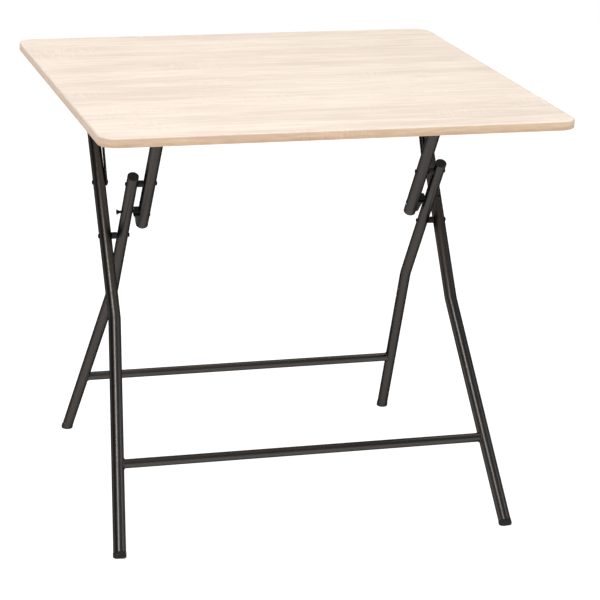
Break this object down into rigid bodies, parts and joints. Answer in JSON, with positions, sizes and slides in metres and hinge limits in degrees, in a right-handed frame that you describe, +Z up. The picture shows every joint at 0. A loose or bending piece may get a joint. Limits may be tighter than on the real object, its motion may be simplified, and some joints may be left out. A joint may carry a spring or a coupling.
{
  "type": "folding table",
  "caption": "Square folding table: light oak laminate top on crossed, splayed dark steel tube legs that break at a knee and fold flat under the top",
  "frame": {"origin": "floor plane, below the centre of the bounding box", "axes": "+X across the table between the two leg pairs, +Y away from the front edge, +Z up"},
  "size_m": [0.8, 0.8, 0.75],
  "materials": {
    "oak_laminate": "pale oak printed laminate, satin",
    "edge_strip": "tan edge strip, satin",
    "tube_paint": "dark grey powder coat, satin",
    "plate_paint": "dark grey powder coat, satin",
    "fastener": "blackened steel",
    "screw_steel": "zinc plated",
    "black_plastic": "moulded, matt",
    "clip_plastic": "moulded, matt",
    "foot_rubber": "matt"
  },
  "bodies": {
    "tabletop": {"table_board": "oak_laminate", "edge_band": "edge_strip", "bracket_screws": "screw_steel", "link_bracket_left": "plate_paint", "link_bracket_right": "plate_paint", "leg_bracket_left": "plate_paint", "leg_bracket_right": "plate_paint", "link_hinge_pin_left": "fastener", "link_hinge_pin_right": "fastener", "leg_hinge_rivet_left": "fastener", "leg_hinge_rivet_right": "fastener"},
    "left_link": {"link_tube_left": "tube_paint", "link_top_cap_left": "black_plastic", "link_end_cap_left": "black_plastic", "latch_clip_left": "clip_plastic", "clip_bolt_left": "fastener"},
    "right_link": {"link_tube_right": "tube_paint", "link_top_cap_right": "black_plastic", "link_end_cap_right": "black_plastic", "latch_clip_right": "clip_plastic", "clip_bolt_right": "fastener"},
    "inner_frame": {"inner_crossbar": "tube_paint", "inner_leg_left": "tube_paint", "inner_leg_right": "tube_paint", "inner_cap_left": "black_plastic", "inner_cap_right": "black_plastic", "inner_foot_left": "foot_rubber", "inner_foot_right": "foot_rubber", "latch_pin_left": "fastener", "latch_pin_right": "fastener", "knee_bolt_left": "fastener", "knee_bolt_right": "fastener", "knee_spacer_left": "black_plastic", "knee_spacer_right": "black_plastic", "knee_nut_left": "fastener", "knee_nut_right": "fastener"},
    "outer_frame": {"outer_crossbar": "tube_paint", "outer_leg_left": "tube_paint", "outer_leg_right": "tube_paint", "outer_cap_left": "black_plastic", "outer_cap_right": "black_plastic", "outer_foot_left": "foot_rubber", "outer_foot_right": "foot_rubber", "hinge_strap_left": "plate_paint", "hinge_strap_right": "plate_paint", "strap_washer_left": "fastener", "strap_washer_right": "fastener", "strap_bolt_left": "fastener", "strap_bolt_right": "fastener", "strap_nut_left": "fastener", "strap_nut_right": "fastener", "strap_rivet_left": "fastener", "strap_rivet_right": "fastener", "scissor_bolt_left": "fastener", "scissor_bolt_right": "fastener", "scissor_spacer_left": "black_plastic", "scissor_spacer_right": "black_plastic", "scissor_nut_left": "fastener", "scissor_nut_right": "fastener"}
  },
  "joints": [
    {"name": "left_link_hinge", "type": "hinge", "parent": "tabletop", "child": "left_link", "pos_m": [-0.247, -0.14752, 0.716], "axis": [1, 0, 0], "range_deg": [0, 55.85]},
    {"name": "right_link_hinge", "type": "hinge", "parent": "tabletop", "child": "right_link", "pos_m": [0.247, -0.14752, 0.716], "axis": [1, 0, 0], "range_deg": [0, 55.85]},
    {"name": "leg_knee", "type": "hinge", "parent": "left_link", "child": "inner_frame", "pos_m": [-0.247, -0.05883, 0.585], "axis": [-1, 0, 0], "range_deg": [0, 176.44]},
    {"name": "scissor_pivot", "type": "hinge", "parent": "inner_frame", "child": "outer_frame", "pos_m": [0, 0.017, 0.473], "axis": [1, 0, 0], "range_deg": [0, 61.91]}
  ],
  "couplings": [
    {"joint": "left_link_hinge", "follows": "leg_knee", "ratio": 0.31654},
    {"joint": "right_link_hinge", "follows": "leg_knee", "ratio": 0.31654},
    {"joint": "scissor_pivot", "follows": "leg_knee", "ratio": 0.35088}
  ]
}
